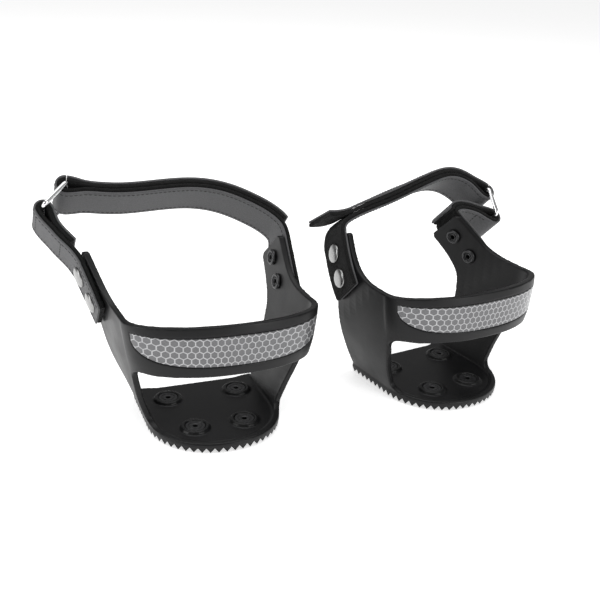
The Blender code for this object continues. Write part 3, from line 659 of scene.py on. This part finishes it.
def section(half, thickness, radius, spans):
    """Rounded rectangle as (across, outward) points, with several points over its width."""
    flat = half - radius
    rise = 0.5 * thickness - radius
    points = []
    for k in range(spans + 1):
        points.append((flat * (2.0 * k / spans - 1.0), -0.5 * thickness))
    corner = [(math.sin(t), -math.cos(t)) for t in (math.pi / 6.0, math.pi / 3.0, math.pi / 2.0)]
    points += [(flat + radius * s, -rise + radius * c) for s, c in corner]
    points += [(flat + radius * s, rise - radius * c) for s, c in reversed(corner)]
    for k in range(spans + 1):
        points.append((flat * (1.0 - 2.0 * k / spans), 0.5 * thickness))
    points += [(-flat - radius * s, rise - radius * c) for s, c in corner]
    points += [(-flat - radius * s, -rise + radius * c) for s, c in reversed(corner)]
    return points


def ply_mesh(frames, half, thickness, fuzz=0.0):
    """A strap's layer with rounded edges. fuzz roughens it like pile, mostly at its sides."""
    outline = section(half, thickness, 0.32 * thickness, 8)
    rings = []
    for number, (center, out, across) in enumerate(frames):
        nearness = min(number, len(frames) - 1 - number)
        pinch = 1.0 if nearness else 0.97
        ring = []
        for a, o in outline:
            place = center + across * (a * pinch) + out * (o * pinch)
            if fuzz:
                edge = smoothstep((abs(a) - half + 3.0) / 3.0)
                jitter = noise.noise(place * 0.9) + 0.6 * noise.noise(place * 2.3)
                place += across * math.copysign(fuzz * edge * jitter, a) + out * (0.3 * fuzz * jitter)
            ring.append(place)
        rings.append(ring)
    bm = bmesh.new()
    loft(bm, rings)
    return bm


def stitch_line(bm, points, normals, pitch=2.7, length=2.2, radius=0.27):
    """Thread stitches along a line on a strap: short arched tubes, sunk at both ends."""
    lengths = [0.0]
    for a, b in zip(points, points[1:]):
        lengths.append(lengths[-1] + (b - a).length)

    def at(distance):
        k = 0
        while k < len(lengths) - 2 and lengths[k + 1] < distance:
            k += 1
        share = (distance - lengths[k]) / max(lengths[k + 1] - lengths[k], 1e-6)
        return points[k].lerp(points[k + 1], share), normals[k].lerp(normals[k + 1], share).normalized()

    count = int(lengths[-1] / pitch)
    for k in range(count):
        begin = (k + 0.5) * lengths[-1] / count - 0.5 * length
        rings = []
        for step in range(5):
            place, normal = at(begin + length * step / 4)
            ahead = (at(begin + length)[0] - at(begin)[0]).normalized()
            flank = normal.cross(ahead)
            arch = math.sin(math.pi * step / 4)
            middle = place + normal * (-0.12 + 0.16 * arch)
            size = radius * (0.6 + 0.4 * arch)
            rings.append([middle + (flank * math.cos(t) + normal * math.sin(t)) * size
                          for t in (2.0 * math.pi * s / 6 for s in range(6))])
        loft(bm, rings)


def offset_line(frames, across_at, out_at):
    """Points and directions of a line that follows a strap at an offset."""
    points = [center + across * across_at + out * out_at for center, out, across in frames]
    return points, [out if out_at > 0 else -out for _, out, _ in frames]


def row_mesh(bm, name, world):
    """The bmesh's faces as a mesh in the row frame, turned outwards. The bmesh is used up."""
    bmesh.ops.recalc_face_normals(bm, faces=bm.faces)
    bmesh.ops.transform(bm, matrix=world, verts=bm.verts)
    if world.is_negative:
        bmesh.ops.reverse_faces(bm, faces=bm.faces)
    mesh = bpy.data.meshes.new(name)
    bm.to_mesh(mesh)
    bm.free()
    return mesh


# ---------------------------------------------------------------- one cleat

class Cleat:
    def __init__(self, data):
        self.data = data
        self.name = data["name"]
        self.yaw = data["yaw"]
        corners = [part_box("%s_stud_%d" % (self.name, number)) for number in (1, 2, 3, 4)]
        total = sum((Vector(low) + Vector(high) for low, high in corners), Vector())
        self.place = Vector((total.x, total.y)) / (8.0 * MM)
        self.flip = Matrix.Diagonal((-1.0, 1.0, 1.0, 1.0)) if data["mirror"] else Matrix()
        self.world = (Matrix.Scale(MM, 4) @ Matrix.Translation((*self.place, 0.0))
                      @ Matrix.Rotation(math.radians(self.yaw), 4, 'Z') @ self.flip)

    def add(self, name, bm, material, nodes=(), body="pair", smooth=40.0, slot=None, bend=None):
        """Put a mesh into the row frame as a piece that rides on a body, or, when bend is given, as a loose
        piece with its transform baked in.
        """
        mesh = row_mesh(bm, self.name + "_" + name, self.world)
        mesh.shade_smooth()
        mesh.set_sharp_from_angle(angle=math.radians(smooth))
        mesh.materials.append(material)
        piece = bpy.data.objects.new(self.name + "_" + name, mesh)
        bpy.context.collection.objects.link(piece)
        if nodes:
            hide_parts(*[self.name + "_" + node for node in nodes])
        if bend:
            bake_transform(piece)
        else:
            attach(piece, body)
        return piece

    def rivet_place(self, side, step):
        here, normal, _ = ear_face(self.data, side, EAR_Q + step * RIVET_PITCH, 0.0)
        turn = Vector((0.0, 0.0, 1.0)).rotation_difference(normal).to_matrix().to_4x4()
        return Matrix.Translation(here) @ turn


def helper(bm, world=Matrix()):
    """A temporary object in the row frame, from a bmesh."""
    item = bpy.data.objects.new("helper", row_mesh(bm, "helper", world))
    bpy.context.collection.objects.link(item)
    return item


def combine(target, other, operation):
    modifier = target.modifiers.new("cut", 'BOOLEAN')
    modifier.operation = operation
    modifier.object = other
    modifier.solver = 'EXACT'


def finished(item):
    """The item's mesh with its modifiers applied."""
    bpy.context.view_layer.update()
    graph = bpy.context.evaluated_depsgraph_get()
    return bpy.data.meshes.new_from_object(item.evaluated_get(graph))


def wall_body(cleat):
    """Closed U-shaped wall, larger than the shell; the side profile trims it."""
    limit = 0.5 * math.pi
    turns = [limit * (2.0 * k / HEEL_COLUMNS - 1.0) for k in range(HEEL_COLUMNS + 1)]
    sides = [limit + (k + 1.0) / SIDE_COLUMNS for k in range(SIDE_COLUMNS)]
    turns = [-t for t in reversed(sides)] + turns + sides
    heights = [WALL_LOW + (WALL_HIGH - WALL_LOW) * k / WALL_ROWS for k in range(WALL_ROWS + 1)]
    rings = []
    for turn in turns:
        rings.append([wall_sheet(cleat, turn, z, -0.5) for z in heights]
                     + [wall_sheet(cleat, turn, z, 0.5) for z in reversed(heights)])
    bm = bmesh.new()
    loft(bm, rings)
    return bm


def wall_cuts(cleat):
    """Rivet holes and the pocket for the reflective strip."""
    bm = bmesh.new()
    for side in (-1, 1):
        for step in (-0.5, 0.5):
            rod = ((0.0, -12.0), (SHANK_RADIUS + GAP, -12.0), (SHANK_RADIUS + GAP, 12.0), (0.0, 12.0))
            turned(bm, rod, 24, cleat.rivet_place(side, step))
    rings = []
    for k in range(POCKET_STEPS + 1):
        share = math.sin(0.5 * math.pi * (2.0 * k / POCKET_STEPS - 1.0))
        low, top = strip_edges(share)
        ring = []
        for z, offset in ((low - GAP, -STRIP_DEPTH), (low - GAP, 3.0), (top + GAP, 3.0),
                          (top + GAP, -STRIP_DEPTH)):
            here, normal = wall_normal(cleat.data, share * (STRIP_REACH + GAP / POCKET_RADIUS), z)
            ring.append(here + normal * (wall_thickness(share * STRIP_REACH, z) - 0.5 * WALL + offset))
        rings.append(ring)
    loft(bm, rings)
    return bm


def add_shell(cleat, rubber):
    """Moulding with rounded edges: finely drawn walls on the CAD sole with its teeth and bosses."""
    wall = helper(wall_body(cleat.data), cleat.world)
    bm = bmesh.new()
    reach = SIDE * TRIM_REACH
    outline = [Vector((0.0, y, z)) for y, z in side_profile()]
    loft(bm, [[point - reach for point in outline], [point + reach for point in outline]])
    trim = helper(bm, cleat.world)
    cuts = helper(wall_cuts(cleat), cleat.world)
    combine(wall, trim, 'INTERSECT')
    combine(wall, cuts, 'DIFFERENCE')

    bm = bmesh.new()
    bm.from_mesh(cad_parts[cleat.name + "_heel_shell"].data)
    sole = helper(bm)
    bm = bmesh.new()
    bmesh.ops.create_cube(bm, size=1.0)
    bmesh.ops.transform(bm, matrix=Matrix.Diagonal((1.0, 1.0, 2.0 * SOLE_SLAB * MM, 1.0)), verts=bm.verts)
    slab = helper(bm)
    combine(sole, slab, 'INTERSECT')

    bm = bmesh.new()
    bm.from_mesh(finished(wall))
    bm.from_mesh(finished(sole))
    for item in (wall, trim, cuts, sole, slab):
        bpy.data.objects.remove(item, do_unlink=True)
    piece = helper(bm)
    piece.name = cleat.name + "_moulded_shell"
    remesh = piece.modifiers.new("round", 'REMESH')
    remesh.mode = 'VOXEL'
    remesh.voxel_size = VOXEL * MM
    ease = piece.modifiers.new("ease", 'SMOOTH')
    ease.factor = 0.5
    ease.iterations = EASE_PASSES
    final = finished(piece)
    piece.modifiers.clear()
    piece.data = final
    final.shade_smooth()
    final.materials.clear()
    final.materials.append(rubber)
    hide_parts(cleat.name + "_heel_shell")
    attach(piece, "pair")


def sole_rim(margin, count):
    """Places along the sole's curved rim, margin mm outside the middle of the wall."""
    start, depth = heel_arc(SOLE_TOP)
    curve = [Vector((HEEL_HALF_WIDTH + margin, SOLE_FRONT))]
    for k in range(97):
        turn = 0.5 * math.pi - math.pi * k / 96
        x, y = heel_curve(turn, HEEL_HALF_WIDTH + margin, depth + margin)
        curve.append(Vector((x, start + y)))
    curve.append(Vector((-HEEL_HALF_WIDTH - margin, SOLE_FRONT)))
    lengths = line_lengths(curve)
    places = []
    k = 0
    for step in range(count):
        target = lengths[-1] * step / (count - 1)
        while k < len(curve) - 2 and lengths[k + 1] < target:
            k += 1
        share = (target - lengths[k]) / (lengths[k + 1] - lengths[k])
        places.append(curve[k].lerp(curve[k + 1], share))
    return places


def add_rim_teeth(cleat, rubber):
    """Pointed grip teeth that follow the rim of the sole."""
    bm = bmesh.new()
    count = 2 * RIM_TEETH + 1
    outer = sole_rim(RIM_OUTER, count)
    inner = sole_rim(RIM_INNER, count)
    for k in range(0, count - 1, 2):
        corners = [outer[k], outer[k + 2], inner[k + 2], inner[k]]
        root = [bm.verts.new((*corner, RIM_ROOT)) for corner in corners]
        apex = bm.verts.new((*outer[k + 1].lerp(inner[k + 1], RIM_APEX_SHARE), RIM_APEX_HEIGHT))
        bm.faces.new(root)
        for a, b in zip(root, root[1:] + root[:1]):
            bm.faces.new((a, b, apex))
    cleat.add("rim_teeth", bm, rubber, slot="rubber", smooth=20.0)


def add_strip(cleat):
    """Reflective film in the pocket of the heel band."""
    bm = bmesh.new()
    rings = []
    for k in range(STRIP_STEPS + 1):
        share = math.sin(0.5 * math.pi * (2.0 * k / STRIP_STEPS - 1.0))
        turn = share * STRIP_REACH
        low, top = strip_edges(share)
        ring = []
        for z, offset in ((low, GAP - STRIP_DEPTH), (low, -0.25), (low + 0.3, 0.0), (top - 0.3, 0.0),
                          (top, -0.25), (top, GAP - STRIP_DEPTH)):
            here, normal = wall_normal(cleat.data, turn, z)
            ring.append(here + normal * (wall_thickness(turn, z) - 0.5 * WALL + offset))
        rings.append(ring)
    loft(bm, rings)
    cleat.add("reflective_patch", bm, film_material(cleat), ("reflective_strip",), slot="film")


def add_studs(cleat, dark, tip):
    """Stud bodies with grooved heads, and their pointed tips."""
    head_top, head_low = BOSS_TOP - 0.5, BOSS_RECESS_FLOOR + GAP
    socket = TIP_RADIUS + GAP
    body = ((0.0, head_top - 1.8), (1.5, head_top - 1.8), (1.5, head_top - 0.15), (1.7, head_top),
            (3.2, head_top), (3.4, head_top - 0.25), (3.9, head_top - 0.25), (4.1, head_top),
            (STUD_HEAD_RADIUS - 0.25, head_top), (STUD_HEAD_RADIUS, head_top - 0.25),
            (STUD_HEAD_RADIUS, head_low), (STUD_SHANK_RADIUS, head_low),
            (STUD_SHANK_RADIUS, STUD_FOOT + 0.25), (STUD_SHANK_RADIUS - 0.25, STUD_FOOT),
            (socket, STUD_FOOT), (socket, STUD_FOOT + TIP_SEAT), (0.0, STUD_FOOT + TIP_SEAT))
    pin = ((0.0, 0.0), (0.6 * TIP_RADIUS, 0.0), (0.85 * TIP_RADIUS, 0.2), (TIP_RADIUS, 0.5),
           (TIP_RADIUS, STUD_FOOT + TIP_SEAT - GAP), (0.0, STUD_FOOT + TIP_SEAT - GAP))
    for number, (x, y) in enumerate(STUD_PLACES, 1):
        place = Matrix.Translation((x, y, 0.0))
        for name, profile, material, node, slot in (
                ("stud_body", body, dark, "stud", "stud"), ("stud_point", pin, tip, "stud_tip", "carbide")):
            bm = bmesh.new()
            turned(bm, profile, 32, place)
            cleat.add("%s_%d" % (name, number), bm, material, ("%s_%d" % (node, number),), slot=slot)


def add_rivets(cleat, nickel, dark):
    """Domed caps outside each ear and dished eyelets inside it."""
    stack = 0.5 * WALL + GAP + PLY - 0.5 * GAP
    seat = stack + GAP
    inner = -0.5 * WALL - 2.0 * GAP
    dome = [(0.0, seat), (CAP_RADIUS - 0.15, seat), (CAP_RADIUS, seat + 0.15)]
    for k in range(1, 10):
        turn = 0.5 * math.pi * k / 10
        dome.append((CAP_RADIUS * math.cos(turn) ** 0.8, seat + 0.3 + (CAP_HEIGHT - 0.3) * math.sin(turn)))
    dome.append((0.0, seat + CAP_HEIGHT))
    dished = [(0.0, stack), (SHANK_RADIUS, stack), (SHANK_RADIUS, inner), (FLANGE_RADIUS - 0.15, inner),
              (FLANGE_RADIUS, inner - 0.2)]
    for k in range(7):
        turn = math.pi * k / 6
        dished.append((3.75 + 0.95 * math.cos(turn), inner - 0.55 - 0.75 * math.sin(turn)))
    dished += [(2.5, inner - 0.5), (2.3, inner - 0.9), (2.0, inner - 1.05), (1.6, inner - 0.9),
               (1.45, inner - 0.4), (1.45, 0.0), (0.0, 0.0)]
    for side, word in ((-1, "strap"), (1, "tab")):
        for number, step in ((1, -0.5), (2, 0.5)):
            place = cleat.rivet_place(side, step)
            for name, profile, material, node, slot in (
                    ("rivet_dome", dome, nickel, "rivet_cap", "nickel"),
                    ("rivet_eyelet", dished, dark, "rivet_post", "dark_steel")):
                bm = bmesh.new()
                turned(bm, profile, 40, place)
                cleat.add("%s_%s_%d" % (word, name, number), bm, material,
                          ("%s_%s_%d" % (word, node, number),), slot=slot)


def add_ring(cleat, chrome):
    """Rounded rectangular wire ring between the two strap folds."""
    near = plane_point(*cleat.data["near_bar"])
    far = plane_point(*cleat.data["far_bar"])
    over = (far - near).normalized()
    thick = ACROSS.cross(over)
    center = (near + far) / 2
    half_over = 0.5 * (far - near).length
    rings = []
    for corner, (a, b) in enumerate(((1, 1), (-1, 1), (-1, -1), (1, -1))):
        middle = (center + ACROSS * a * (RING_HALF_LENGTH - RING_CORNER)
                  + over * b * (half_over - RING_CORNER))
        for k in range(9):
            turn = 0.5 * math.pi * (corner + k / 8)
            out = ACROSS * math.cos(turn) + over * math.sin(turn)
            rings.append([middle + out * (RING_CORNER + WIRE_RADIUS * math.cos(t))
                          + thick * WIRE_RADIUS * math.sin(t)
                          for t in (math.pi * s / 10 for s in range(20))])
    bm = bmesh.new()
    loft(bm, rings, closed=True)
    cleat.add("wire_ring", bm, chrome, ("ring",), body=cleat.name + "_ring", slot="chrome")


def add_ply(cleat, name, path, layer, width, material, node, slot, body="pair", bend=None, fuzz=0.0):
    low, high = layer
    frames = strap_frames(path, 0.5 * (low + high))
    bm = ply_mesh(frames, 0.5 * width, high - low, fuzz)
    cleat.add(name, bm, material, (node,), body=body, slot=slot, bend=bend, smooth=50.0)
    return frames


def add_straps(cleat, materials):
    coated, pile, hook, thread = (materials[key] for key in ("coated", "pile", "hook", "thread"))
    data = cleat.data

    path = turned_in(stations(long_strap_line(data), 1, FAR_OPENING))
    path += fold(path, 1, FOLD_STEPS)
    add_ply(cleat, "long_strap_pile", path, PILE_LAYER, STRAP_WIDTH, pile, "strap_pile", "pile",
            fuzz=0.35)
    frames = add_ply(cleat, "long_strap_face", path, FACE_LAYER, STRAP_WIDTH, coated, "strap_face",
                     "coated")
    bm = bmesh.new()
    for edge in (-1.0, 1.0):
        stitch_line(bm, *offset_line(frames[STRAP_STITCH_START:],
                                     edge * (0.5 * STRAP_WIDTH - STITCH_INSET), 0.5 * FACE))
    cleat.add("long_strap_stitches", bm, thread, slot="pile")

    path = flap_stations(data)
    middle = 0.5 * sum(PILE_LAYER)
    begin, out, _ = strap_frames(path, middle)[0]
    later = strap_frames(path, middle)[10][0]
    bend = [tuple(cleat.world @ point) for point in (begin, later)]
    body = cleat.name + "_flap"
    add_ply(cleat, "flap_hook_side", path, PILE_LAYER, STRAP_WIDTH, hook, "flap_hook", "hook",
            body=body, bend=bend, fuzz=0.3)
    frames = add_ply(cleat, "flap_cover", path, FACE_LAYER, STRAP_WIDTH, coated, "flap_face",
                     "coated", body=body, bend=bend)
    bm = bmesh.new()
    for edge in (-1.0, 1.0):
        stitch_line(bm, *offset_line(frames, edge * (0.5 * STRAP_WIDTH - STITCH_INSET), 0.5 * FACE))
    cleat.add("flap_stitches", bm, thread, body=body, slot="pile", bend=bend)

    path = tab_stations(data)
    add_ply(cleat, "tab_pile_side", path, PILE_LAYER, TAB_WIDTH, pile, "tab_pile", "pile", fuzz=0.3)
    frames = add_ply(cleat, "tab_cover", path, FACE_LAYER, TAB_WIDTH, coated, "tab_face", "coated")
    bm = bmesh.new()
    last = 3 * (len(stations(ear_line(data, 1, 0.0), -1, 0.0)) - 1) * TAB_STEPS
    edge = 0.5 * TAB_WIDTH - STITCH_INSET
    for side in (-1.0, 1.0):
        stitch_line(bm, *offset_line(frames[TAB_STITCH_START:last + TAB_STITCH_END], side * edge,
                                     0.5 * FACE))
    for past in TAB_CROSS_STITCHES:
        center, out, across = frames[last + past]
        ends = [center + out * (0.5 * FACE) + across * (edge * share) for share in
                (-1.0, -0.5, 0.0, 0.5, 1.0)]
        stitch_line(bm, ends, [out] * 5)
    cleat.add("tab_stitches", bm, thread, slot="pile")


# ---------------------------------------------------------------- camera, light and floor

def add_camera(left):
    """Camera from behind and above the heels. Its place is measured from the left cleat."""
    data = bpy.data.cameras.new("camera")
    data.sensor_width = CAMERA_SENSOR
    data.lens = CAMERA_LENS
    data.clip_start = 0.01
    camera = bpy.data.objects.new("camera", data)
    bpy.context.collection.objects.link(camera)
    place = left.place * MM + CAMERA_FROM_LEFT
    camera.matrix_world = (Matrix.Translation((*place, CAMERA_HEIGHT))
                           @ Matrix.Rotation(math.radians(CAMERA_DIP), 4, 'X')
                           @ Matrix.Rotation(math.radians(CAMERA_ROLL), 4, 'Z'))
    bpy.context.scene.camera = camera


def add_light(name, place, target, size, power):
    data = bpy.data.lights.new(name, 'AREA')
    data.shape = 'RECTANGLE'
    data.size, data.size_y = size
    data.energy = power
    lamp = bpy.data.objects.new(name, data)
    bpy.context.collection.objects.link(lamp)
    lamp.location = place
    lamp.rotation_euler = (Vector(target) - Vector(place)).to_track_quat('-Z', 'Y').to_euler()


def add_studio():
    """World, three area lights and a pale floor that glows to white."""
    world = bpy.data.worlds.new("studio")
    bpy.context.scene.world = world
    world.use_nodes = True
    world.node_tree.nodes["Background"].inputs["Color"].default_value = (1.0, 1.0, 1.0, 1.0)
    world.node_tree.nodes["Background"].inputs["Strength"].default_value = WORLD_STRENGTH
    add_light("top_light", (-0.1, 0.3, 1.5), (0.0, 0.15, 0.0), (1.6, 1.6), 15.0)
    add_light("left_light", (-0.9, -0.5, 0.5), (0.0, 0.0, 0.05), (0.5, 0.9), 5.0)
    add_light("right_light", (0.8, -0.7, 0.35), (0.0, 0.0, 0.05), (0.35, 0.7), 4.0)
    bpy.context.scene.view_settings.view_transform = 'Standard'
    bm = bmesh.new()
    bmesh.ops.create_grid(bm, x_segments=1, y_segments=1, size=FLOOR_HALF)
    mesh = bpy.data.meshes.new("floor")
    bm.to_mesh(mesh)
    bm.free()
    floor = bpy.data.objects.new("floor", mesh)
    floor.location = (0.0, 0.0, -FLOOR_DROP)
    bpy.context.collection.objects.link(floor)
    shader = Shader("pale_floor", 0.9)
    shader.surface.inputs["Emission Color"].default_value = (1.0, 1.0, 1.0, 1.0)
    shader.surface.inputs["Emission Strength"].default_value = FLOOR_GLOW
    shader.color(shader.mix(shader.noise(300.0), (0.93, 0.93, 0.93), (0.96, 0.96, 0.96)))
    mesh.materials.append(shader.material)


# ---------------------------------------------------------------- scene

cleats = [Cleat(data) for data in CLEATS]
add_camera(cleats[0])
add_studio()
materials = {
    "rubber": rubber_material(),
    "coated": coated_material(),
    "pile": pile_material("loop_pile", (0.004, 0.004, 0.004)),
    "hook": pile_material("hook_tape", (0.005, 0.005, 0.005)),
    "thread": thread_material(),
    "stud": metal_material("blackened_steel", (0.02, 0.02, 0.021), (0.05, 0.05, 0.052), 0.3, 0.5, 0.7),
    "carbide": metal_material("carbide", (0.25, 0.25, 0.26), (0.4, 0.4, 0.41), 0.3, 0.45),
    "chrome": metal_material("polished_wire", (0.78, 0.78, 0.79), (0.88, 0.88, 0.89), 0.06, 0.14),
    "nickel": metal_material("satin_nickel", (0.26, 0.26, 0.26), (0.38, 0.38, 0.375), 0.24, 0.38),
    "eyelet": metal_material("dark_eyelet", (0.035, 0.035, 0.036), (0.07, 0.07, 0.072), 0.28, 0.42, 0.8),
}
for cleat in cleats:
    add_shell(cleat, materials["rubber"])
    add_rim_teeth(cleat, materials["rubber"])
    add_strip(cleat)
    add_studs(cleat, materials["stud"], materials["carbide"])
    add_rivets(cleat, materials["nickel"], materials["eyelet"])
    add_ring(cleat, materials["chrome"])
    add_straps(cleat, materials)
